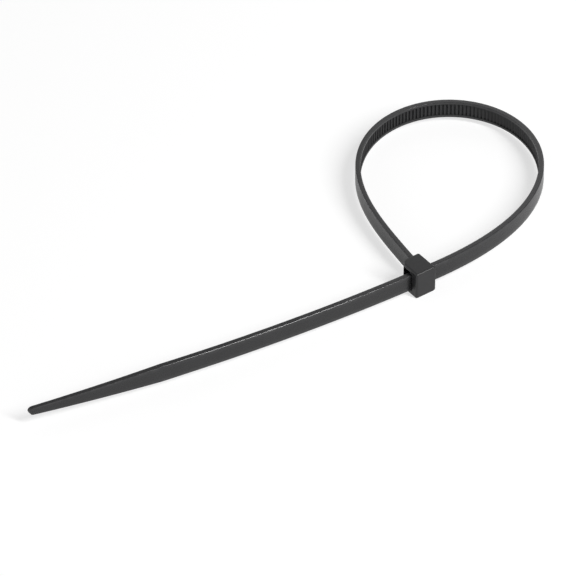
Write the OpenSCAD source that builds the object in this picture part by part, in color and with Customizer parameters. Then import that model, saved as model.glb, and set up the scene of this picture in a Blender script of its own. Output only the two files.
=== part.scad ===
// Nylon cable tie, looped with its tail pulled through the head.
// It lies on one side face of the head, with the strap standing on its edge.
// The root strap leaves the head along +Y, and the tail leaves it along -X.
// The two centre lines cross above the origin, which is on the resting side face.

/* [Strap] */
// Width of the strap
strap_w = 4.9; // [4:0.1:6]
// Thickness of the strap over its rails
strap_t = 1.4; // [1.2:0.05:1.7]
// Thickness of the web under the teeth
web_t = 0.85; // [0.65:0.05:1]
// Width of the plain rail along each edge
rail_w = 0.7; // [0.5:0.05:0.9]

/* [Teeth] */
// Distance from one tooth to the next
tooth_pitch = 1.05; // [0.85:0.05:1.3]
// Height of a tooth above the web
tooth_h = 0.4; // [0.3:0.02:0.5]
// Part of the pitch that the steep face takes
steep_part = 0.15; // [0.1:0.05:0.3]
// Part of the pitch that the flat crest takes
crest_part = 0.2; // [0.1:0.05:0.35]
// Plain strap between the head and the first tooth
teeth_start = 5; // [3:0.5:12]
// Plain strap between the last tooth and the taper
teeth_end = 2; // [1:0.5:6]

/* [Loop] */
// Length of the bent strap, from the head's root round to the slot
loop_l = 172.3; // [135:0.5:210]
// Shift of the tightest bend, towards the root below zero and towards the slot above it
skew = -0.53; // [-0.6:0.01:0.4]
// Bend that is left where the loop runs into the slot, as a share of the tightest bend
slot_bend = 0.227; // [0:0.001:0.3]
// Bend of the strap at the head's root, in degrees
root_bend = 7.8; // [0:0.1:12]
// Length over which the strap bends at the root
root_bend_l = 3; // [2:0.5:6]

/* [Tail] */
// Length of the tail, from the middle of the slot to the tip
tail_l = 113.1; // [90:0.1:140]
// Bend of the tail where it leaves the head, in degrees
exit_bend = 0.8; // [0:0.1:6]
// Length over which most of that bend is made
exit_bend_l = 5; // [3:0.5:8]
// Even bend along the whole tail, in degrees
tail_bend = 10.8; // [0:0.1:14]
// Length of the tapered end
taper_l = 36; // [20:1:44]
// Width of the tip
tip_w = 2.2; // [1.6:0.1:3]
// Thickness of the tip
tip_t = 1.1; // [0.8:0.05:1.1]

/* [Head] */
// Width of the head, across the strap's width
head_w = 7.9; // [7.4:0.1:9]
// Depth of the head along the slot
head_d = 6.1; // [5.4:0.1:7.2]
// Solid wall on the nose side of the slot
nose_wall = 1.9; // [1.2:0.05:2.3]
// Head on the root side of the slot
root_wall = 3.5; // [2.9:0.1:4.2]
// Lip of the head beyond the toothed face of the root strap
entry_lip = 0.85; // [0.5:0.05:1.2]
// Radius of the corner between nose and exit face
nose_r = 0.6; // [0.45:0.05:1.2]
// Radius of the shoulder between root and exit face
shoulder_r = 2.3; // [1.4:0.1:2.8]
// Radius of the remaining edges of the head
edge_r = 0.45; // [0.2:0.05:0.6]
// Length of the flare from the strap's width to the head
neck_l = 0.9; // [0.6:0.1:2]
// Widening of the neck across the strap's width, on each side
neck_w = 0.5; // [0.2:0.1:0.8]
// Thickening of the neck on each face
neck_t = 0.3; // [0.1:0.05:0.5]

/* [Slot and pawl] */
// Lean of the slot towards the root strap, in degrees
slot_lean = 2.3; // [0:0.1:4]
// Gap between the strap and the slot on each side
slot_gap = 0.15; // [0.1:0.01:0.25]
// Depth of the lead-in at the entry
lead_l = 0.8; // [0.4:0.1:1.2]
// Widening of the lead-in at the entry face
lead_w = 0.45; // [0.2:0.05:0.6]
// Thickness of the pawl at its hinge
hinge_t = 0.5; // [0.4:0.05:0.6]
// Thickness of the pawl behind its teeth at the free end
pawl_t = 0.9; // [0.6:0.05:1.1]
// Length of the solid wall that carries the hinge
hinge_wall = 1.2; // [0.8:0.1:1.6]
// Teeth on the pawl
pawl_teeth = 3; // [2:1:3]
// Solid wall between the pawl's pocket and the root strap
back_wall = 1; // [0.8:0.05:1.2]
// Wall on each side of the pawl's pocket
side_wall = 0.75; // [0.6:0.05:1]
// Gap between the pawl's teeth and the strap's teeth
mesh_gap = 0.06; // [0.04:0.01:0.08]

/* [Hidden] */
nylon = "#3a3b3d";
loop_steps = 120;
tail_steps = 40;
corner_steps = 6;
edge_steps = 3;
solve_steps = 24;
cut = 1;
mid_z = head_w / 2;
half_t = strap_t / 2;
half_w = strap_w / 2;
slot_y = half_t + slot_gap;
slot_z = half_w + slot_gap;
entry_x = half_t + entry_lip;
exit_x = entry_x - head_d;
nose_y = -slot_y - nose_wall;
root_y = slot_y + root_wall;
web_y = web_t - half_t;
crest_y = web_y + tooth_h;
pawl_w = strap_w - 2 * rail_w - 2 * slot_gap;
pocket_x = entry_x - hinge_wall;
pocket_y = root_y - back_wall;
pocket_z = mid_z - side_wall;
root_in = back_wall / 2;

// Curvature of the loop at a share u of its length: a sine bump, fuller or slimmer by its power
function bend(u, power) = pow(sin(180 * u), power) * (1 + skew * (u - 0.5)) + slot_bend * u;

// Turn made at the root after a length s
function root_turn(s) = root_bend * (1 - cos(180 * min(1, s / root_bend_l))) / 2;

// Running sum of a list by the trapezium rule
function running(v) = [
    for (i = 0, a = 0; i < len(v); a = a + (v[i] + (i + 1 < len(v) ? v[i + 1] : 0)) / 2, i = i + 1) a
];

// Headings round the loop, clockwise: three quarters of a turn, and the slot's lean
function loop_headings(power) =
    let (a = running([for (i = [0:loop_steps]) bend(i / loop_steps, power)]))
    let (turn = 270 + slot_lean - root_bend)
    [for (i = [0:loop_steps]) 90 - root_turn(loop_l * i / loop_steps) - turn * a[i] / a[loop_steps]];

// Points reached from a start by steps of one length along the mean of each two headings
function walk(start, h, step) = [
    for (
        i = 0, q = start;
        i < len(h);
        q = q + step * heading_mean(h[i], i + 1 < len(h) ? h[i + 1] : h[i]), i = i + 1
    ) q
];
function heading_mean(a, b) = [cos((a + b) / 2), sin((a + b) / 2)];

// Height above the slot's centre line at which the loop ends
slot_way = [-cos(slot_lean), sin(slot_lean)];
function miss(power) =
    let (end = walk([0, root_y], loop_headings(power), loop_l / loop_steps)[loop_steps])
    end[0] * slot_way[1] - end[1] * slot_way[0];

// Power at which the loop runs into the slot, found by halving
function fullness(lo, hi, n) =
    let (m = (lo + hi) / 2)
    n == 0 ? m : miss(m) > 0 ? fullness(lo, m, n - 1) : fullness(m, hi, n - 1);

loop_power = fullness(0.2, 4, solve_steps);
loop_h = loop_headings(loop_power);
loop_p = walk([0, root_y], loop_h, loop_l / loop_steps);

// The tail runs straight through the head, bends as it leaves it, and goes on in an even bend
tail_run = tail_l + exit_x;
function tail_heading(d) =
    -180 - slot_lean - exit_bend * (1 - exp(-d / exit_bend_l)) - tail_bend * d / tail_run;
tail_h = [for (i = [0:tail_steps]) tail_heading(tail_run * i / tail_steps)];
tail_p = walk(-exit_x * slot_way, tail_h, tail_run / tail_steps);

// The whole centre line, from inside the back wall to the tip
line_p = concat([[0, root_y - root_in]], loop_p, [[0, 0]], tail_p);
line_h = concat([90], loop_h, [-180 - slot_lean], tail_h);
line_s = running_length(line_p);
line_l = line_s[len(line_s) - 1];
slot_s = line_l - tail_l;
taper_s = line_l - taper_l;
function running_length(p) = [
    for (i = 0, a = 0; i < len(p); a = a + norm((i + 1 < len(p) ? p[i + 1] : p[i]) - p[i]), i = i + 1) a
];

// Place on the centre line at a length s, and w from it towards the toothed side
table_x = [for (i = [0:len(line_p) - 1]) [line_s[i], line_p[i][0]]];
table_y = [for (i = [0:len(line_p) - 1]) [line_s[i], line_p[i][1]]];
table_h = [for (i = [0:len(line_p) - 1]) [line_s[i], line_h[i]]];
function beside(s, w) =
    let (h = lookup(s, table_h))
    [lookup(s, table_x) + w * sin(h), lookup(s, table_y) - w * cos(h)];

// The toothed face thins towards the tip
function inner_w(s) = half_t - (strap_t - tip_t) * max(0, (s - taper_s) / taper_l);

// Places of the teeth, counted from the slot so that they mesh with the pawl there
first_tooth = -floor((slot_s - root_in - teeth_start) / tooth_pitch);
last_tooth = floor((tail_l - taper_l - teeth_end) / tooth_pitch);

// One tooth: a steep face towards the root, a flat crest and a long slope towards the tip
function tooth(s) =
    let (top = s + steep_part * tooth_pitch)
    [[s, web_y], [top, crest_y], [top + crest_part * tooth_pitch, crest_y]];

module band() {
    translate([0, 0, mid_z - half_w])
        linear_extrude(height = strap_w)
            polygon(concat(
                [for (s = line_s) beside(s, -half_t)],
                [for (i = [len(line_s) - 1:-1:0]) beside(line_s[i], inner_w(line_s[i]))]
            ));
}

// The channel between the rails, with the teeth standing in it
module channel() {
    teeth = [for (i = [first_tooth:last_tooth]) each tooth(slot_s + i * tooth_pitch)];
    end_s = slot_s + (last_tooth + 1) * tooth_pitch;
    floor_line = concat(teeth, [[end_s, web_y]]);
    translate([0, 0, mid_z - half_w + rail_w])
        linear_extrude(height = strap_w - 2 * rail_w)
            polygon(concat(
                [for (q = floor_line) beside(q[0], q[1])],
                [for (i = [last_tooth + 1:-1:first_tooth]) beside(slot_s + i * tooth_pitch, half_t + cut)]
            ));
}

// What is cut away round the tapered end: a frame whose inner edge is the taper and its round tip
module taper_cut() {
    tip = line_p[len(line_p) - 1];
    tip_r = tip_w / 2;
    from = beside(taper_s, 0);
    slope = (half_w - tip_r) / (from[0] - tip[0]);
    lean = atan(slope);
    start_x = from[0] + cut;
    start_z = half_w + cut * slope;
    outer_z = half_w + 2 * cut;
    arc = [for (i = [0:2 * corner_steps]) 90 + lean + (180 - 2 * lean) * i / (2 * corner_steps)];
    translate([0, (from[1] + tip[1]) / 2, mid_z])
        rotate([90, 0, 0])
            linear_extrude(height = taper_l, center = true)
                polygon(concat(
                    [[start_x, outer_z], [start_x, start_z]],
                    [for (a = arc) [tip[0] + tip_r + tip_r * cos(a), tip_r * sin(a)]],
                    [[start_x, -start_z], [start_x, -outer_z]],
                    [[tip[0] - cut, -outer_z], [tip[0] - cut, outer_z]]
                ));
}

module strap() {
    difference() {
        band();
        channel();
        taper_cut();
    }
}

// Outward normal of an edge, and a convex outline with each corner rounded to its own radius
function normal(a, b) = [b[1] - a[1], a[0] - b[0]] / norm(b - a);
function corner(a, b, c, r, inset) =
    let (na = normal(a, b), nb = normal(b, c), m = b - (na + nb) * r / (1 + na * nb))
    let (from = atan2(na[1], na[0]), step = acos(na * nb) / corner_steps)
    [for (i = [0:corner_steps]) m + (r - inset) * [cos(from + step * i), sin(from + step * i)]];
function rounded(p, r, inset) =
    let (n = len(p))
    [for (i = [0:n - 1]) each corner(p[(i + n - 1) % n], p[i], p[(i + 1) % n], r[i], inset)];

// The moulded block: prisms that grow fuller as they get shorter, joined to round every edge
module block() {
    outline = [[exit_x, nose_y], [entry_x, nose_y], [entry_x, root_y], [exit_x, root_y]];
    radii = [nose_r, edge_r + cut / 100, edge_r + cut / 100, shoulder_r];
    hull()
        for (i = [0:edge_steps]) {
            inset = edge_r * (1 - sin(90 * i / edge_steps));
            lift = edge_r * (1 - cos(90 * i / edge_steps));
            translate([0, 0, lift])
                linear_extrude(height = head_w - 2 * lift)
                    polygon(rounded(outline, radii, inset));
        }
}

// The lead-in, which widens from the slot to the entry face, to both sides and towards the nose
module lead_in() {
    far = lead_w * (1 + cut / lead_l);
    in_x = entry_x - lead_l;
    out_x = entry_x + cut;
    intersection() {
        translate([0, 0, mid_z - slot_z - far])
            linear_extrude(height = 2 * (slot_z + far))
                polygon([[in_x, -slot_y], [out_x, -slot_y - far], [out_x, slot_y], [in_x, slot_y]]);
        translate([0, slot_y, mid_z])
            rotate([90, 0, 0])
                linear_extrude(height = 2 * slot_y + far)
                    polygon([[in_x, -slot_z], [out_x, -slot_z - far], [out_x, slot_z + far], [in_x, slot_z]]);
    }
}

// The way through the head, its lead-in and the pocket for the pawl
module slot() {
    translate([exit_x - cut, -slot_y, mid_z - slot_z])
        cube([head_d + 2 * cut, 2 * slot_y, 2 * slot_z]);
    translate([exit_x - cut, 0, mid_z - pocket_z])
        cube([pocket_x - exit_x + cut, pocket_y, 2 * pocket_z]);
    lead_in();
}

// The pawl: a tongue hinged near the entry, with teeth that point against the strap's
module pawl() {
    shift = [mesh_gap, 2 * mesh_gap];
    end_s = (pawl_teeth + 1.5 * steep_part) * tooth_pitch;
    edge = [for (i = [1:pawl_teeth]) each tooth(i * tooth_pitch)];
    bite = [for (q = edge) if (q[0] < end_s) [-q[0], q[1]] + shift];
    free_x = bite[len(bite) - 1][0];
    hinge_x = pocket_x + hinge_wall / 3;
    translate([0, 0, mid_z - pawl_w / 2])
        linear_extrude(height = pawl_w)
            polygon(concat(
                [[hinge_x, slot_y], [shift[0] - (steep_part + crest_part) * tooth_pitch, slot_y]],
                bite,
                [[free_x, slot_y + pawl_t], [pocket_x, slot_y + hinge_t], [hinge_x, slot_y + hinge_t]]
            ));
}

// Half of the neck's outline: a hollow flare from the strap's half size out to the head's back wall
function neck_side(half, out) = [
    [root_y - root_in, half + out],
    for (i = [0:corner_steps])
        [root_y + neck_l * (1 - cos(90 * i / corner_steps)), half + out * (1 - sin(90 * i / corner_steps))]
];
function mirrored(p) = concat(p, [for (i = [len(p) - 1:-1:0]) [p[i][0], -p[i][1]]]);

// The neck, which widens and thickens the strap where it runs into the head
module neck() {
    wide = half_w + neck_w;
    thick = half_t + neck_t;
    intersection() {
        translate([-thick, 0, mid_z])
            rotate([90, 0, 90])
                linear_extrude(height = 2 * thick)
                    polygon(mirrored(neck_side(half_w, neck_w)));
        translate([0, 0, mid_z - wide])
            linear_extrude(height = 2 * wide)
                polygon([for (q = mirrored(neck_side(half_t, neck_t))) [q[1], q[0]]]);
    }
}

module head() {
    difference() {
        block();
        rotate([0, 0, -slot_lean])
            slot();
    }
    rotate([0, 0, -slot_lean])
        pawl();
}

module cable_tie() {
    color(nylon) {
        head();
        neck();
        strap();
    }
}

cable_tie();
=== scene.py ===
import math

import bpy
import numpy as np
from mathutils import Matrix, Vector


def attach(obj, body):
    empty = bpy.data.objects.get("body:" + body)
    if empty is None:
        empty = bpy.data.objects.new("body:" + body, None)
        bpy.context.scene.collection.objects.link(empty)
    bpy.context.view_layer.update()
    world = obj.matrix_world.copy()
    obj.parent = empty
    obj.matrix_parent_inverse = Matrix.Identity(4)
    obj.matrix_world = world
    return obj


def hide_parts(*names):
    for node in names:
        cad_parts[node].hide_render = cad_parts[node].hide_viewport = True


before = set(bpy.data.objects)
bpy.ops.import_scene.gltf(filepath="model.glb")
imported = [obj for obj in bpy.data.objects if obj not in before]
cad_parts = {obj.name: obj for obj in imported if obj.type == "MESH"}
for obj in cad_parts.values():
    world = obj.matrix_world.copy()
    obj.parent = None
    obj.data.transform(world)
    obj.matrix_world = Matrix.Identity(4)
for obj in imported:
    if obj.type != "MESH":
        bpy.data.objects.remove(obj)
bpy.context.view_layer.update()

# ---------------------------------------------------------------- the strap's line
# One band of nylon, bent by hand: it leaves the head's back wall, runs round the loop,
# passes straight through the slot and ends in a long tail. All sizes are in millimetres.
MM = 0.001
# the head's block and its walls
HEAD_W, HEAD_D = 7.9, 6.1
NOSE_WALL, ROOT_WALL, BACK_WALL, ENTRY_LIP = 1.9, 3.5, 1.0, 0.85
# the band, the room that the slot leaves round it, and the slot's lean in degrees
STRAP_W, STRAP_T = 4.9, 1.4
SLOT_GAP, SLOT_LEAN = 0.15, 2.3
HALF_T, HALF_W, MID_Z = STRAP_T / 2, STRAP_W / 2, HEAD_W / 2
SLOT_Y, SLOT_Z = HALF_T + SLOT_GAP, HALF_W + SLOT_GAP
ENTRY_X = HALF_T + ENTRY_LIP
EXIT_X = ENTRY_X - HEAD_D
NOSE_Y, ROOT_Y = -SLOT_Y - NOSE_WALL, SLOT_Y + ROOT_WALL
ANCHOR = BACK_WALL / 2
SLOT_WAY = np.array([-math.cos(math.radians(SLOT_LEAN)), math.sin(math.radians(SLOT_LEAN))])
# the loop: its length, the skew of its curvature and the share of bend left at the slot
LOOP_L, SKEW, SLOT_BEND = 172.3, -0.53, 0.227
# the tail's length, and the bends of root and tail in degrees, with the lengths they take
TAIL_L, TAIL_BEND = 113.1, 10.8
ROOT_BEND, ROOT_BEND_L = 7.8, 3.0
EXIT_BEND, EXIT_BEND_L = 0.8, 5.0
# steps along each stretch, and the search for the loop's power
LOOP_STEPS, SLOT_STEPS, TAIL_STEPS = 1700, 18, 1000
POWER_LOW, POWER_HIGH, HALVINGS = 0.2, 4.0, 40


def walk(start, headings, step):
    """Points reached by equal steps, each along the mean of two headings in degrees."""
    mean = np.radians((headings[1:] + headings[:-1]) / 2)
    ahead = np.stack([np.cos(mean), np.sin(mean)], 1) * step
    return np.concatenate([[start], start + np.cumsum(ahead, 0)])


def loop_points(power):
    """The loop: its curvature is sin(pi u)^power (1 + SKEW (u - 1/2)) + SLOT_BEND u."""
    u = np.linspace(0, 1, LOOP_STEPS + 1)
    curvature = np.sin(np.pi * u).clip(0) ** power * (1 + SKEW * (u - 0.5)) + SLOT_BEND * u
    turned = np.concatenate([[0], np.cumsum(curvature[1:] + curvature[:-1])])
    at_root = ROOT_BEND * (1 - np.cos(np.pi * np.minimum(1, u * LOOP_L / ROOT_BEND_L))) / 2
    headings = 90 - at_root - (270 + SLOT_LEAN - ROOT_BEND) * turned / turned[-1]
    return walk(np.array([0, ROOT_Y]), headings, LOOP_L / LOOP_STEPS), headings


def strap_line():
    """Points and headings of the whole centre line.

    The loop's power is found by halving, so that the loop ends on the slot's own line.
    """
    low, high = POWER_LOW, POWER_HIGH
    for _ in range(HALVINGS):
        power = (low + high) / 2
        end = loop_points(power)[0][-1]
        above = end[0] * SLOT_WAY[1] - end[1] * SLOT_WAY[0]
        low, high = (low, power) if above > 0 else (power, high)
    loop, loop_h = loop_points(power)
    run = TAIL_L + EXIT_X
    d = np.linspace(0, run, TAIL_STEPS + 1)
    tail_h = -180 - SLOT_LEAN - EXIT_BEND * (1 - np.exp(-d / EXIT_BEND_L)) - TAIL_BEND * d / run
    tail = walk(-EXIT_X * SLOT_WAY, tail_h, run / TAIL_STEPS)
    through = np.linspace(loop[-1], tail[0], SLOT_STEPS + 2)[1:-1]
    points = np.concatenate([[[0, ROOT_Y - ANCHOR]], loop, through, tail])
    headings = np.concatenate([[90], loop_h, np.full(SLOT_STEPS, -180 - SLOT_LEAN), tail_h])
    return points, headings


line_p, line_h = strap_line()
line_s = np.concatenate([[0], np.cumsum(np.hypot(*np.diff(line_p, axis=0).T))])
LINE_L = line_s[-1]
SLOT_S = LINE_L - TAIL_L

# ---------------------------------------------------------------- the strap
# The moulded band: a smooth outer face, two plain rails along the edges, and between them
# a channel with the row of ratchet teeth. It widens into the head and tapers to a round tip.
WEB_T, RAIL_W = 0.85, 0.7
PITCH, TOOTH_H, STEEP, CREST = 1.05, 0.4, 0.15, 0.2
TEETH_START, TEETH_END = 5.0, 2.0
TAPER_L, TIP_W, TIP_T = 36.0, 2.2, 1.1
TIP_R = TIP_W / 2
WEB = WEB_T - HALF_T
# radii of the outer face's edges, the rails' edges and the channel's edges, the sharper
# radius of the face's edges at the tip, and the length over which they sharpen
FACE_R, RAIL_R, LAND_R = 0.22, 0.09, 0.07
TAPER_R, TAPER_R_L = 0.12, 8.0
# the most that a radius or the channel may take of the half width, close to the tip
FACE_SHARE, RAIL_SHARE = 0.4, 0.3
# the length at the tip over which the rings turn square to the X axis
SQUARE_L = 4.0
# the flare into the head: its length, and what it adds to each side and to each face
NECK_L, NECK_W, NECK_T = 0.9, 0.5, 0.3
FIRST_TOOTH = -math.floor((SLOT_S - ANCHOR - TEETH_START) / PITCH)
LAST_TOOTH = math.floor((TAIL_L - TAPER_L - TEETH_END) / PITCH)
TEETH_FROM = SLOT_S + FIRST_TOOTH * PITCH
TEETH_TO = SLOT_S + (LAST_TOOTH + 1) * PITCH
TAPER_S = LINE_L - TAPER_L
# shares of one pitch and the tooth's height there: steep face, flat crest, long slope,
# each with its corners rounded
TOOTH_AT = np.array(
    [0, 0.03, STEEP - 0.03, STEEP + 0.02, STEEP + CREST - 0.02, STEEP + CREST + 0.06, 0.95]
)
TOOTH_UP = np.array([0, 0.1, 0.92, 1, 1, 0.93, 0.04])
# how the rings are spaced where the strap is plain, and how close they come to the teeth,
# to the first tooth's foot and to the very tip
NECK_RINGS, TAPER_RINGS, TIP_RINGS = 9, 50, 15
PLAIN_STEP, FLAT_STEP, TEETH_CLEAR = 0.5, 0.4, 0.3
NECK_CLEAR, FOOT_CLEAR, TIP_CLEAR = 0.05, 0.02, 0.0002
# the points between the corners, as shares of the face's width and of the rails' height
FACE_AT, SIDE_AT = [-0.5, 0, 0.5], [0.3, 0.7]


def strap_stations():
    """Lengths along the strap with a ring: at the neck, on each tooth, and round the tip."""
    turn = np.linspace(0, np.pi / 2, NECK_RINGS)
    neck = np.concatenate([[0, ANCHOR - NECK_CLEAR], ANCHOR + NECK_L * (1 - np.cos(turn))])
    plain = np.arange(neck[-1] + PLAIN_STEP, TEETH_FROM - TEETH_CLEAR, PLAIN_STEP)
    feet = SLOT_S + np.arange(FIRST_TOOTH, LAST_TOOTH + 1) * PITCH
    teeth = (feet[:, None] + TOOTH_AT * PITCH).ravel()
    flat = np.arange(TEETH_TO, TAPER_S, FLAT_STEP)
    taper = np.linspace(TAPER_S, LINE_L - TIP_R, TAPER_RINGS)
    tip = LINE_L - TIP_R * (1 - np.sin(np.linspace(0, np.pi / 2, TIP_RINGS)[1:-1]))
    ends = [TEETH_FROM - FOOT_CLEAR, LINE_L - TIP_CLEAR]
    return np.unique(np.concatenate([neck, plain, teeth, flat, taper, tip, ends]))


def neck_flare(s):
    """The flare at the neck: a quarter circle that falls from 1 to 0 over NECK_L."""
    out = ((s - ANCHOR) / NECK_L).clip(0, 1)
    return 1 - np.sqrt(1 - (1 - out) ** 2)


def half_width(s):
    """Half the width: the neck's flare, level, then a taper that ends in a half circle."""
    taper = HALF_W - (HALF_W - TIP_R) * ((s - TAPER_S) / (TAPER_L - TIP_R)).clip(0, 1)
    past = ((s - LINE_L + TIP_R) / TIP_R).clip(0, 1)
    return (taper + NECK_W * neck_flare(s)) * np.sqrt(1 - past**2)


def channel_floor(s, rail):
    """Height of the channel's floor: level with the rails, or toothed in its toothed stretch."""
    phase = ((s - SLOT_S) / PITCH + 1e-6) % 1
    up = np.interp(phase, np.append(TOOTH_AT, 1), np.append(TOOTH_UP, 0))
    near = FOOT_CLEAR / 2
    toothed = (s > TEETH_FROM - near) & (s < TEETH_TO - near)
    return np.where(toothed, WEB + TOOTH_H * up, rail)


def corner(w, z, r, start, end, steps):
    """Points on a quarter circle about (w, z) for every ring at once, between two angles."""
    a = np.radians(np.linspace(start, end, steps + 1))
    return w[:, None] + r[:, None] * np.cos(a), z[:, None] + r[:, None] * np.sin(a)


def strap_rings(s):
    """The closed outline at each length: w towards the teeth, and z across the width.

    With it come two masks: how far its points lie on the edges, which take a painted sheen, and
    how far they are matt.
    """
    flare = NECK_T * neck_flare(s)
    half = half_width(s)
    face = -HALF_T - flare
    rail = HALF_T + flare - (STRAP_T - TIP_T) * ((s - TAPER_S) / TAPER_L).clip(0)
    floor = channel_floor(s, rail)
    land = np.maximum(half - RAIL_W, FACE_SHARE * half)
    sharper = ((s - TAPER_S + TAPER_R_L) / TAPER_R_L).clip(0, 1)
    face_r = np.minimum(FACE_R + (TAPER_R - FACE_R) * sharper, FACE_SHARE * half)
    rail_r = np.minimum(RAIL_R, RAIL_SHARE * half)
    land_r = np.minimum(LAND_R, rail - floor)
    low, high = face + face_r, rail - rail_r
    side = low[:, None] + np.outer(high - low, SIDE_AT)
    # each stretch of the outline: its points, its edge mask for the painted sheen and its matt
    # mask
    parts = [
        (corner(low, face_r - half, face_r, 270, 180, 4), 1, 0),
        ((np.stack([face] * 3, 1), np.outer(half - face_r, FACE_AT)), 0, 0),
        (corner(low, half - face_r, face_r, 180, 90, 4), 1, 0),
        ((side, np.stack([half] * 2, 1)), 0, 0),
        (corner(high, half - rail_r, rail_r, 90, 0, 3), 0.8, 0),
        (corner(rail - land_r, land + land_r, land_r, 0, -90, 2), 0.5, 0.9),
        ((np.stack([floor] * 3, 1), np.outer(land, [1, 0, -1])), 0, 1),
        (corner(rail - land_r, -land - land_r, land_r, 90, 0, 2), 0.5, 0.9),
        (corner(high, rail_r - half, rail_r, 0, -90, 3), 0.8, 0),
        ((side[:, ::-1], np.stack([-half] * 2, 1)), 0, 0),
    ]
    w, z = (np.concatenate([p[axis] for p, _, _ in parts], 1) for axis in (0, 1))
    edge = np.concatenate([np.full(p[0].shape[1], e, float) for p, e, _ in parts])
    matt = np.concatenate([np.full(p[0].shape[1], m, float) for p, _, m in parts])
    return w, z, edge, matt


def grid_faces(rings, points):
    """Quads between neighbouring rings of a closed grid, and one face over each end."""
    i = np.arange(rings - 1)[:, None] * points
    a, b = np.arange(points)[None, :], (np.arange(points) + 1)[None, :] % points
    quads = np.stack([i + a, i + b, i + points + b, i + points + a], -1).reshape(-1, 4)
    ends = [list(range(points))[::-1], list(range((rings - 1) * points, rings * points))]
    return quads.tolist() + ends


def solid(name, verts, faces):
    """A mesh object from points in millimetres, turned outwards if its volume is negative."""
    verts = np.asarray(verts, float) * MM
    mesh = bpy.data.meshes.new(name)
    mesh.from_pydata(verts.tolist(), [], faces)
    mesh.calc_loop_triangles()
    corners = np.zeros(len(mesh.loop_triangles) * 3, int)
    mesh.loop_triangles.foreach_get("vertices", corners)
    a, b, c = np.moveaxis(verts[corners.reshape(-1, 3)], 1, 0)
    if (a * np.cross(b, c)).sum() < 0:
        mesh.flip_normals()
    obj = bpy.data.objects.new(name, mesh)
    bpy.context.scene.collection.objects.link(obj)
    return obj


# folds of more than this many degrees stay sharp
FOLD = 35


def soften(obj):
    """Smooth shading that keeps the flat faces flat and the folds sharp."""
    obj.data.shade_smooth()
    obj.data.set_sharp_from_angle(angle=math.radians(FOLD))
    weigh = obj.modifiers.new("even_faces", "WEIGHTED_NORMAL")
    weigh.keep_sharp = True
    weigh.weight = 100


# the texture's grid: its scale, and the ring whose girth it takes for them all
UV_PER_MM, GIRTH_RING = 0.01, 200


def build_strap():
    """The rings carried along the centre line, w along its inner normal and z straight up.

    Towards the tip the rings turn square to the X axis, as the part's own tip is cut.
    """
    s = strap_stations()
    w, z, edge, matt = strap_rings(s)
    h = np.radians(np.interp(s, line_s, line_h))[:, None]
    square = ((s - LINE_L + SQUARE_L) / SQUARE_L).clip(0, 1)[:, None]
    mid_x, mid_y = (np.interp(s, line_s, line_p[:, axis])[:, None] for axis in (0, 1))
    x = mid_x + w * np.sin(h) * (1 - square)
    y = mid_y - w * (np.cos(h) + np.sin(h) * np.tan(h) * square)
    rings, points = w.shape
    verts = np.stack([x, y, z + MID_Z], -1).reshape(-1, 3)
    obj = solid("strap", verts, grid_faces(rings, points))
    mesh = obj.data
    for name, mask in (("edge", edge), ("matt", matt)):
        values = mesh.attributes.new(name, "FLOAT", "POINT").data
        values.foreach_set("value", np.tile(mask, rings))
    steps = np.hypot(np.diff(w[GIRTH_RING]), np.diff(z[GIRTH_RING]))
    along, around = np.repeat(s, points), np.tile(np.append(0, np.cumsum(steps)), rings)
    loops = np.zeros(len(mesh.loops), int)
    mesh.loops.foreach_get("vertex_index", loops)
    uv = np.stack([along[loops], around[loops]], 1).ravel() * UV_PER_MM
    mesh.uv_layers.new(name="along_strap").data.foreach_set("uv", uv)
    soften(obj)
    return obj


# The nylon's look, shared by all of the moulding: a fine even grain from the mould,
# slow clouds in the black, and edges with a painted sheen: paler in patches, and smoother.
NYLON_IOR = 1.53
# the nylon's black, and the paler colour of the painted sheen on its edges
BLACK, PAINTED_SHEEN = (0.017, 0.017, 0.018, 1), (0.05, 0.05, 0.052, 1)
# noise per metre, and the gain and base with which each noise works on the clouds' tone and on
# the painted sheen
CLOUD_SCALE, SHEEN_SCALE = 160, 900
CLOUD_SHADE, SHEEN_SPREAD = (0.5, 0.75), (1.2, -0.1)
# what each of them adds to the roughness
CLOUD_ROUGH, GRAIN_ROUGH, SHEEN_ROUGH = 0.08, 0.12, -0.17
# the grain's relief, and how dense the flow lines are along and round the strap
BUMP_STRENGTH, BUMP_DEPTH = 0.5, 0.02 * MM
FLOW_ALONG, FLOW_ROUND = 30, 900


def maths(tree, kind, *values):
    """One Math node in a tree, on sockets or numbers."""
    n = tree.nodes.new("ShaderNodeMath")
    n.operation = kind
    for socket, value in zip(n.inputs, values):
        if isinstance(value, (int, float)):
            socket.default_value = value
        else:
            tree.links.new(value, socket)
    return n.outputs[0]


def noise(tree, point, scale, detail, roughness):
    """One Noise node in a tree, on a point."""
    n = tree.nodes.new("ShaderNodeTexNoise")
    for key, value in (("Scale", scale), ("Detail", detail), ("Roughness", roughness)):
        n.inputs[key].default_value = value
    tree.links.new(point, n.inputs["Vector"])
    return n.outputs["Fac"]


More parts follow.
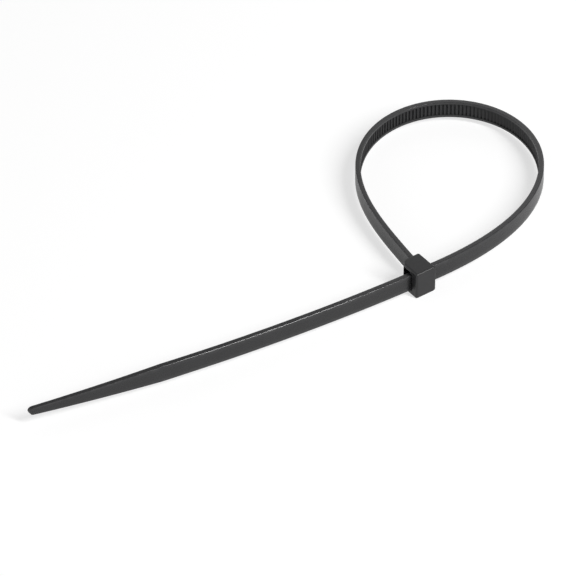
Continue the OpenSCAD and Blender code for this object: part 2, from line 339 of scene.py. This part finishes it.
def nylon_look():
    """Node group: colour, roughness and height of the nylon, from a point and an edge mask that
    paints a paler sheen on the edges.
    """
    group = bpy.data.node_groups.new("moulded_nylon", "ShaderNodeTree")
    sockets = [
        ("Point", "INPUT", "NodeSocketVector", None),
        ("Black", "INPUT", "NodeSocketColor", BLACK),
        ("Painted Sheen", "INPUT", "NodeSocketColor", PAINTED_SHEEN),
        ("Edge", "INPUT", "NodeSocketFloat", 0.0),
        ("Roughness", "INPUT", "NodeSocketFloat", 0.4),
        ("Grain Size", "INPUT", "NodeSocketFloat", 9.0),
        ("Grain Depth", "INPUT", "NodeSocketFloat", 0.2),
        ("Color", "OUTPUT", "NodeSocketColor", None),
        ("Roughness", "OUTPUT", "NodeSocketFloat", None),
        ("Height", "OUTPUT", "NodeSocketFloat", None),
    ]
    for name, way, kind, value in sockets:
        socket = group.interface.new_socket(name, in_out=way, socket_type=kind)
        if value is not None:
            socket.default_value = value
    node, link = group.nodes.new, group.links.new
    given, out = node("NodeGroupInput").outputs, node("NodeGroupOutput").inputs
    clouds = noise(group, given["Point"], CLOUD_SCALE, 3, 0.55)
    grain = noise(group, given["Point"], 1, 2, 0.6)
    link(maths(group, "MULTIPLY", given["Grain Size"], 1 / MM), grain.node.inputs["Scale"])
    # a painted sheen on the edges: a paler colour and a lower roughness, in patches
    patches = noise(group, given["Point"], SHEEN_SCALE, 2, 0.5)
    edge_sheen = maths(group, "MULTIPLY_ADD", patches, *SHEEN_SPREAD)
    edge_sheen = maths(group, "MULTIPLY", given["Edge"], edge_sheen)

    tone, shaded = node("ShaderNodeMix"), node("ShaderNodeVectorMath")
    tone.data_type, shaded.operation = "RGBA", "SCALE"
    link(edge_sheen, tone.inputs["Factor"])
    link(given["Black"], tone.inputs["A"])
    link(given["Painted Sheen"], tone.inputs["B"])
    link(tone.outputs["Result"], shaded.inputs[0])
    link(maths(group, "MULTIPLY_ADD", clouds, *CLOUD_SHADE), shaded.inputs["Scale"])
    link(shaded.outputs[0], out["Color"])

    rough = given["Roughness"]
    for spread, share in ((clouds, CLOUD_ROUGH), (grain, GRAIN_ROUGH)):
        rough = maths(group, "MULTIPLY_ADD", maths(group, "SUBTRACT", spread, 0.5), share, rough)
    link(maths(group, "MULTIPLY_ADD", edge_sheen, SHEEN_ROUGH, rough), out["Roughness"])
    link(maths(group, "MULTIPLY", grain, given["Grain Depth"]), out["Height"])
    return group


nylon = nylon_look()


def nylon_material(name, values, edge=None, flow=0.0, matt=0.0):
    """A material from the nylon group, with its own values.

    The strap's has more: its edges' mask for the painted sheen, flow lines along it and a matt
    channel.
    """
    mat = bpy.data.materials.new(name)
    mat.use_nodes = True
    tree = mat.node_tree
    node, link = tree.nodes.new, tree.links.new
    shader = tree.nodes["Principled BSDF"]
    shader.inputs["IOR"].default_value = NYLON_IOR
    look = node("ShaderNodeGroup")
    look.node_tree = nylon
    for key, value in values.items():
        look.inputs[key].default_value = value
    link(node("ShaderNodeTexCoord").outputs["Object"], look.inputs["Point"])

    def mask(attribute):
        """One of the mesh's own attributes."""
        n = node("ShaderNodeAttribute")
        n.attribute_name = attribute
        return n.outputs["Fac"]

    if edge:
        link(mask(edge), look.inputs["Edge"])
    if matt:
        duller = maths(tree, "MULTIPLY_ADD", mask("matt"), matt, values["Roughness"])
        link(duller, look.inputs["Roughness"])
    height = look.outputs["Height"]
    if flow:
        uv, stretch = node("ShaderNodeUVMap"), node("ShaderNodeMapping")
        uv.uv_map = "along_strap"
        stretch.inputs["Scale"].default_value = (FLOW_ALONG, FLOW_ROUND, 1)
        link(uv.outputs["UV"], stretch.inputs["Vector"])
        lines = noise(tree, stretch.outputs["Vector"], 1, 2, 0.5)
        height = maths(tree, "MULTIPLY_ADD", lines, flow, height)
    bump = node("ShaderNodeBump")
    bump.inputs["Strength"].default_value = BUMP_STRENGTH
    bump.inputs["Distance"].default_value = BUMP_DEPTH
    link(height, bump.inputs["Height"])
    link(look.outputs["Color"], shader.inputs["Base Color"])
    link(look.outputs["Roughness"], shader.inputs["Roughness"])
    link(bump.outputs["Normal"], shader.inputs["Normal"])
    return mat


strap = build_strap()
strap_look = {"Roughness": 0.27, "Grain Size": 7.0, "Grain Depth": 0.18}
# the strap's edge mask carries the painted sheen onto its edges
strap_nylon = nylon_material("strap_nylon", strap_look, edge="edge", flow=0.15, matt=0.33)
strap.data.materials.append(strap_nylon)
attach(strap, "root")
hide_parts("cable_tie")

# ---------------------------------------------------------------- the head
# A small block of the same shot of nylon, with a round nose and shoulder on the exit side.
# The slot runs through it, wider at the mouth, with a pocket on the root side for the pawl.
LEAD_L, LEAD_W = 0.8, 0.45
HINGE_WALL, SIDE_WALL = 1.2, 0.75
POCKET_X = ENTRY_X - HINGE_WALL
POCKET_Y = ROOT_Y - BACK_WALL
POCKET_Z = MID_Z - SIDE_WALL
# fillets: nose and shoulder, the four long edges with the exit's, and the entry's, which are
# rounder towards the side faces than towards nose and shoulder
NOSE_R, SHOULDER_R, EDGE_R = 0.6, 2.3, 0.45
ENTRY_R, SIDE_R = 0.65, 0.25
# rings that are closer together than this are left out, since they would only make slivers
RING_GAP = 0.012
# how far the cutters reach past the block, and by how little their walls miss each other
CUT_PAST, POCKET_PAST, CUT_MISS = 1.0, 1.1, 0.001
# points that the weld joins, and the bevel on the slot's mouths, with its smallest fold
WELD_GAP, MOUTH_R, MOUTH_FOLD = 0.005, 0.09, 40


def head_rings():
    """Rounded rectangles stacked from the entry to the exit, drawn in by each end's fillet."""
    turn = 1 - np.cos(np.linspace(0, np.pi / 2, 9))
    entry = ENTRY_X - np.concatenate([ENTRY_R * turn, SIDE_R * turn[::2]])
    fillets = [
        EXIT_X + r * (1 - np.cos(np.linspace(np.pi / 2, 0, rings)))
        for r, rings in ((SHOULDER_R, 15), (NOSE_R, 11), (EDGE_R, 6))
    ]
    x = np.unique(np.concatenate([entry, *fillets]).round(6))[::-1]
    apart = np.concatenate([[True], np.diff(x) < -RING_GAP])
    x = np.append(x[apart & (x > EXIT_X + RING_GAP)], EXIT_X)

    def draw_in(depth, r):
        """How far a fillet of radius r has drawn the wall in at a depth from the face."""
        return r - np.sqrt(r**2 - (r - depth).clip(0, r) ** 2)

    front, back = ENTRY_X - x, x - EXIT_X
    sides, exits = draw_in(front, SIDE_R), draw_in(back, EDGE_R)
    z_in = np.maximum(draw_in(front, ENTRY_R), exits)
    y0 = NOSE_Y + np.maximum(sides, draw_in(back, NOSE_R))
    y1 = ROOT_Y - np.maximum(sides, draw_in(back, SHOULDER_R))
    r = (EDGE_R - np.maximum(sides, exits)).clip(0.01)
    z0, z1 = z_in, HEAD_W - z_in
    parts = [
        corner(y0 + r, z0 + r, r, 270, 180, 4),
        corner(y0 + r, z1 - r, r, 180, 90, 4),
        corner(y1 - r, z1 - r, r, 90, 0, 4),
        corner(y1 - r, z0 + r, r, 0, -90, 4),
    ]
    y, z = (np.concatenate([p[axis] for p in parts], 1) for axis in (0, 1))
    return np.stack([np.repeat(x[:, None], y.shape[1], 1), y, z], -1)


def lean(verts):
    """Turns points about the origin by the slot's lean, towards the root strap."""
    a = math.radians(-SLOT_LEAN)
    turn = np.array([[math.cos(a), math.sin(a), 0], [-math.sin(a), math.cos(a), 0], [0, 0, 1]])
    return np.asarray(verts, float) @ turn


def frustum(name, x, y, z):
    """A solid between two upright rectangles at x[0] and x[1], leaned with the slot."""
    verts = []
    for i in (0, 1):
        (y0, y1), (z0, z1) = y[i], z[i]
        verts += [(x[i], y0, z0), (x[i], y1, z0), (x[i], y1, z1), (x[i], y0, z1)]
    faces = [[0, 1, 2, 3], [7, 6, 5, 4], [0, 4, 5, 1], [1, 5, 6, 2], [2, 6, 7, 3], [3, 7, 4, 0]]
    return solid(name, lean(verts), faces)


def head_cutters():
    """What is cut from the block: the slot, the pawl's pocket and the lead-in at the entry."""
    up, down = MID_Z + SLOT_Z, MID_Z - SLOT_Z
    wide = LEAD_W * (1 + CUT_PAST / LEAD_L)
    inner, lower, upper = SLOT_Y - CUT_MISS, down + CUT_MISS, up - CUT_MISS
    before, past = EXIT_X - CUT_PAST, ENTRY_X + CUT_PAST
    pocket_x, pocket_z = (EXIT_X - POCKET_PAST, POCKET_X), (MID_Z - POCKET_Z, MID_Z + POCKET_Z)
    lead_y = [(-inner, inner), (-SLOT_Y - wide, inner)]
    lead_z = [(lower, upper), (down - wide, up + wide)]
    return [
        frustum("slot_cut", (before, past), [(-SLOT_Y, SLOT_Y)] * 2, [(down, up)] * 2),
        frustum("pocket_cut", pocket_x, [(0, POCKET_Y)] * 2, [pocket_z] * 2),
        frustum("lead_cut", (ENTRY_X - LEAD_L, past), lead_y, lead_z),
    ]


def build_head():
    """The block, less what is cut from it, with the cut edges softened."""
    rings = head_rings()
    head = solid("head", rings.reshape(-1, 3), grid_faces(*rings.shape[:2]))
    cutters = head_cutters()
    for cutter in cutters:
        cut = head.modifiers.new(cutter.name, "BOOLEAN")
        cut.object = cutter
        cut.solver = "EXACT"
    weld = head.modifiers.new("slivers", "WELD")
    weld.merge_threshold = WELD_GAP * MM
    bevel = head.modifiers.new("mouth_edges", "BEVEL")
    bevel.limit_method = "ANGLE"
    bevel.angle_limit = math.radians(MOUTH_FOLD)
    bevel.width = MOUTH_R * MM
    bevel.segments = 2
    bevel.use_clamp_overlap = False
    bpy.context.view_layer.update()
    cut_head = head.evaluated_get(bpy.context.evaluated_depsgraph_get())
    shaped = bpy.data.meshes.new_from_object(cut_head)
    head.modifiers.clear()
    head.data = shaped
    shaped.name = "head"
    for cutter in cutters:
        bpy.data.objects.remove(cutter)
    soften(head)
    return head


head = build_head()
head_look = {"Roughness": 0.4, "Grain Size": 6.0, "Grain Depth": 0.5}
head.data.materials.append(nylon_material("head_nylon", head_look))
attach(head, "root")
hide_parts("cable_tie")

# ---------------------------------------------------------------- the pawl
# A springy tongue inside the head, moulded on at the entry. Its teeth point back against the
# strap's teeth, so that the strap slides in and doesn't come out again.
PAWL_TEETH, MESH_GAP = 3, 0.06
PAWL_W = STRAP_W - 2 * RAIL_W - 2 * SLOT_GAP
PAWL_T, HINGE_T = 0.9, 0.5
# the bevel on its edges, with its smallest fold in degrees
PAWL_EDGE, PAWL_FOLD = 0.04, 30


def build_pawl():
    """The tongue's outline, carried across its width.

    Its teeth are the strap's own, turned end for end.
    """
    steps = [(0, WEB), (STEEP, WEB + TOOTH_H), (STEEP + CREST, WEB + TOOTH_H)]
    bite = [((i + a) * PITCH, w) for i in range(1, PAWL_TEETH + 1) for a, w in steps]
    bite = [(-a + MESH_GAP, w + 2 * MESH_GAP) for a, w in bite[: 3 * PAWL_TEETH - 1]]
    hinge_x = POCKET_X + HINGE_WALL / 3
    start = (MESH_GAP - (STEEP + CREST) * PITCH, SLOT_Y)
    hinge_y = SLOT_Y + HINGE_T
    back = [(bite[-1][0], SLOT_Y + PAWL_T), (POCKET_X, hinge_y), (hinge_x, hinge_y)]
    outline = np.array([(hinge_x, SLOT_Y), start, *bite, *back])
    across = np.array([MID_Z - PAWL_W / 2, MID_Z + PAWL_W / 2])
    verts = np.concatenate([np.column_stack([outline, np.full(len(outline), z)]) for z in across])
    pawl = solid("pawl", lean(verts), grid_faces(2, len(outline)))
    bevel = pawl.modifiers.new("soft_edges", "BEVEL")
    bevel.limit_method = "ANGLE"
    bevel.angle_limit = math.radians(PAWL_FOLD)
    bevel.width = PAWL_EDGE * MM
    bevel.segments = 2
    soften(pawl)
    return pawl


pawl = build_pawl()
pawl_look = {"Roughness": 0.4, "Grain Size": 7.0, "Grain Depth": 0.3}
pawl.data.materials.append(nylon_material("pawl_nylon", pawl_look))
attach(pawl, "root")
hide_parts("cable_tie")

# ---------------------------------------------------------------- the camera
# A long lens, level, looking down on the tie by 39.6 degrees, turned to the part's own axes.
# It looks at a point to the left of the head, a little above the ground.
CAMERA_TURN, CAMERA_DOWN, CAMERA_FAR = 36.4, 39.6, 1914.97
CAMERA_LENS, CAMERA_SENSOR, CAMERA_CLIP = 469.0, 36, 20
# the part's origin seen from that point, to the right and away, and the point's height
MIDDLE = (34.75, 0.6)
LIFT = 0.2

turn = math.radians(-CAMERA_TURN)


def to_part(x, y, z):
    """From the picture's ground axes, x to the right and y away, to the part's, in metres."""
    x, y = x - MIDDLE[0], y - MIDDLE[1]
    px, py = x * math.cos(turn) - y * math.sin(turn), x * math.sin(turn) + y * math.cos(turn)
    return Vector((px, py, z + LIFT)) * MM


down = math.radians(CAMERA_DOWN)
eye = to_part(0, -CAMERA_FAR * math.cos(down), CAMERA_FAR * math.sin(down))
target = to_part(0, 0, 0)
camera = bpy.data.objects.new("camera", bpy.data.cameras.new("camera"))
camera.data.sensor_width = CAMERA_SENSOR
camera.data.lens = CAMERA_LENS
camera.data.clip_end = CAMERA_CLIP
camera.location = eye
camera.rotation_euler = (eye - target).to_track_quat("Z", "Y").to_euler()
bpy.context.scene.collection.objects.link(camera)
bpy.context.scene.camera = camera
bpy.context.scene.view_settings.view_transform = "Standard"

# ---------------------------------------------------------------- the studio
# A white sweep that is seen as pure white, with only the tie's own soft shadow on it, under a
# white surround that is dimmer behind the tie on the right. A tall lamp stands at the front
# right, a small one behind, and a low one at the left.
FLOOR_HALF = 3.0
# the sweep: how white it is as paper, and what it glows to the camera and in reflections
FLOOR_PAPER, FLOOR_GLOW, FLOOR_MIRRORED = 0.45, 0.61, 0.6
# the surround: its light at the horizon, overhead and in the dim part, where that lies in
# degrees from the picture's right, and the cosines between which it dims
SKY_LOW, SKY_HIGH, SKY_BEHIND = 1.05, 0.0, 0.15
DIM_SIDE, DIM_SPAN = 48, (0.52, 0.92)


def white_floor():
    """A plain matt sheet: lit as white paper, and lifted to pure white for the camera."""
    corners = [(-1, -1), (1, -1), (1, 1), (-1, 1)]
    mesh = bpy.data.meshes.new("floor")
    points = [(x * FLOOR_HALF, y * FLOOR_HALF, 0) for x, y in corners]
    mesh.from_pydata(points, [], [[0, 1, 2, 3]])
    floor = bpy.data.objects.new("floor", mesh)
    bpy.context.scene.collection.objects.link(floor)
    mat = bpy.data.materials.new("white_sweep")
    mat.use_nodes = True
    tree = mat.node_tree
    tree.nodes.clear()
    node, link = tree.nodes.new, tree.links.new
    paper, glow = node("ShaderNodeBsdfDiffuse"), node("ShaderNodeEmission")
    paper.inputs["Color"].default_value = (FLOOR_PAPER, FLOOR_PAPER, FLOOR_PAPER, 1)
    path, add = node("ShaderNodeLightPath").outputs, node("ShaderNodeAddShader")
    seen = (path["Is Glossy Ray"], FLOOR_MIRRORED, path["Is Camera Ray"])
    lift = maths(tree, "MULTIPLY", maths(tree, "MULTIPLY_ADD", *seen), FLOOR_GLOW)
    link(lift, glow.inputs["Strength"])
    link(paper.outputs[0], add.inputs[0])
    link(glow.outputs[0], add.inputs[1])
    link(add.outputs[0], node("ShaderNodeOutputMaterial").inputs["Surface"])
    floor.data.materials.append(mat)
    return floor


white_floor()


def ramp(tree, source, span, levels):
    """One Map Range node in a tree: it goes from level to level as its source spans a range."""
    n = tree.nodes.new("ShaderNodeMapRange")
    keys = ("From Min", "From Max", "To Min", "To Max")
    for key, value in zip(keys, (*span, *levels)):
        n.inputs[key].default_value = value
    tree.links.new(source, n.inputs["Value"])
    return n.outputs["Result"]


def surround():
    """A white world to the camera.

    The light it gives falls off from the horizon to the ceiling, and towards its dim side.
    """
    world = bpy.data.worlds.new("surround")
    bpy.context.scene.world = world
    world.use_nodes = True
    tree = world.node_tree
    node, link = tree.nodes.new, tree.links.new
    way = node("ShaderNodeTexCoord").outputs["Generated"]
    split, behind = node("ShaderNodeSeparateXYZ"), node("ShaderNodeVectorMath")
    link(way, split.inputs[0])
    sky = ramp(tree, split.outputs["Z"], (0, 1), (SKY_LOW, SKY_HIGH))
    behind.operation = "DOT_PRODUCT"
    away = math.radians(DIM_SIDE - CAMERA_TURN)
    behind.inputs[1].default_value = (math.cos(away), math.sin(away), 0)
    link(way, behind.inputs[0])
    dim = ramp(tree, behind.outputs["Value"], DIM_SPAN, (1, SKY_BEHIND))
    pick, back = node("ShaderNodeMix"), tree.nodes["Background"]
    link(node("ShaderNodeLightPath").outputs["Is Camera Ray"], pick.inputs["Factor"])
    link(maths(tree, "MULTIPLY", sky, dim), pick.inputs["A"])
    pick.inputs["B"].default_value = 1.0
    link(pick.outputs["Result"], back.inputs["Strength"])
    back.inputs["Color"].default_value = (1, 1, 1, 1)


surround()


def softbox(name, azimuth, height, far, size, power):
    """An oblong lamp that looks at the tie, with its distance and size in metres.

    Its azimuth in degrees is from the picture's right, and its height in degrees from level.
    """
    a, h = math.radians(azimuth - CAMERA_TURN), math.radians(height)
    way = Vector((math.cos(a) * math.cos(h), math.sin(a) * math.cos(h), math.sin(h)))
    lamp = bpy.data.lights.new(name, "AREA")
    lamp.shape, lamp.energy = "RECTANGLE", power
    lamp.size, lamp.size_y = size
    obj = bpy.data.objects.new(name, lamp)
    obj.location = way * far
    obj.rotation_euler = way.to_track_quat("Z", "Y").to_euler()
    bpy.context.scene.collection.objects.link(obj)


softbox("front_right", -33, 46, 0.9, (0.14, 0.55), 7.3)
softbox("behind", 80, 34, 0.42, (0.16, 0.16), 0.06)
softbox("left", 145, 8, 0.9, (0.5, 0.15), 1.5)
